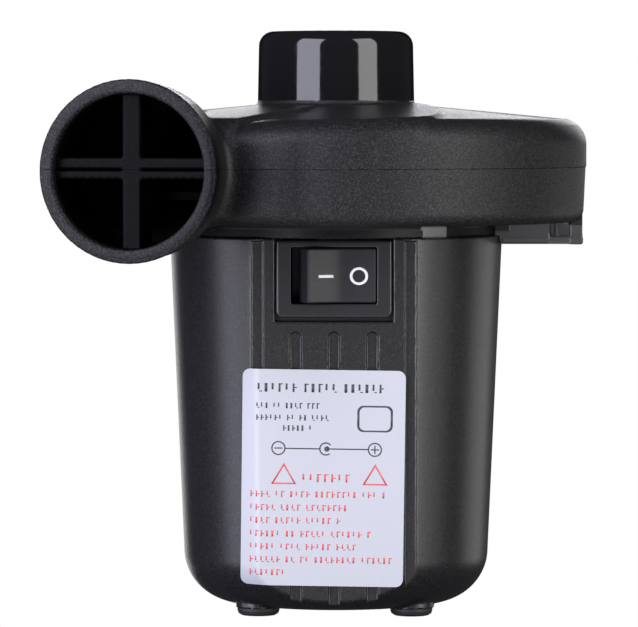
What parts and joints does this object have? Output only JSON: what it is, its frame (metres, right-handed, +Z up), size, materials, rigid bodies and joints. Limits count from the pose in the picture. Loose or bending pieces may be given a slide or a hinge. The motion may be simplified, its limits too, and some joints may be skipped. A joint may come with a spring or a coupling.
{
  "type": "electric air mattress pump",
  "caption": "Small electric inflator: fan in a round scroll casing with a top intake neck and a side outlet pipe, over a tapered motor housing with a rocker switch.",
  "frame": {"origin": "on the motor axis inside the straight wall of the intake neck, 100 mm above the plane the feet rest on", "axes": "+Z up along the motor axis and out of the intake neck, -Y towards the switch panel at the front, +X to the right seen from the front"},
  "size_m": [0.0997, 0.0983, 0.1092],
  "materials": {
    "casing_plastic": "fine moulded texture, black",
    "label": "printed self-adhesive sheet, satin",
    "rubber": "soft black",
    "screw_steel": "zinc plated",
    "switch_plastic": "smooth black",
    "rocker_plastic": "finely grained black",
    "nickel": "nickel plated",
    "brass": "stamped strip",
    "zinc_steel": "zinc plated can",
    "ferrite": "sintered, dark grey",
    "white_plastic": "moulded, off-white",
    "fan_plastic": "moulded, black",
    "bronze": "sintered",
    "carbon": "graphite block",
    "capacitor": "dipped disc",
    "shaft_steel": "ground",
    "lamination": "stacked laminations",
    "copper": "enamelled copper",
    "phenolic": "moulded",
    "wire_red": "insulation, red",
    "wire_black": "insulation, black"
  },
  "bodies": {
    "casing": {"upper_scroll": "casing_plastic", "lower_scroll": "casing_plastic", "motor_housing": "casing_plastic", "rating_label": "label", "foot_pads": "rubber", "scroll_screws": "screw_steel", "housing_screws": "screw_steel", "switch_body": "switch_plastic", "switch_pivot_terminal": "brass", "switch_fixed_terminal": "brass", "jack_body": "switch_plastic", "jack_nut": "nickel", "jack_sleeve": "nickel", "jack_pin": "nickel", "jack_tags": "nickel", "motor_can": "zinc_steel", "motor_magnets": "ferrite", "motor_end_cap": "white_plastic", "front_bush": "bronze", "rear_bush": "bronze", "brush_carbons": "carbon", "brush_springs": "brass", "motor_tags": "brass", "noise_capacitor": "capacitor", "motor_screws": "screw_steel", "wire_switch": "wire_red", "wire_motor": "wire_red", "wire_return": "wire_black"},
    "rocker": {"switch_rocker": "rocker_plastic", "switch_plunger": "nickel", "switch_spring": "nickel"},
    "contact": {"switch_contact": "brass"},
    "rotor": {"motor_shaft": "shaft_steel", "armature_core": "lamination", "armature_coils": "copper", "commutator_base": "phenolic", "commutator_bars": "copper", "thrust_washers": "white_plastic", "fan_wheel": "fan_plastic", "fan_hub_insert": "brass"}
  },
  "joints": [
    {"name": "rocker_hinge", "type": "hinge", "parent": "casing", "child": "rocker", "pos_m": [0, -0.02195, -0.03605], "axis": [0, 0, 1], "range_deg": [-24, 0]},
    {"name": "contact_tilt", "type": "hinge", "parent": "casing", "child": "contact", "pos_m": [0, -0.01905, -0.03605], "axis": [0, 0, 1], "range_deg": [0, 20]},
    {"name": "rotor_spin", "type": "hinge", "parent": "casing", "child": "rotor", "pos_m": [0, 0, -0.04], "axis": [0, 0, 1], "continuous": true}
  ],
  "couplings": [
    {"joint": "contact_tilt", "follows": "rocker_hinge", "ratio": -0.8333}
  ]
}
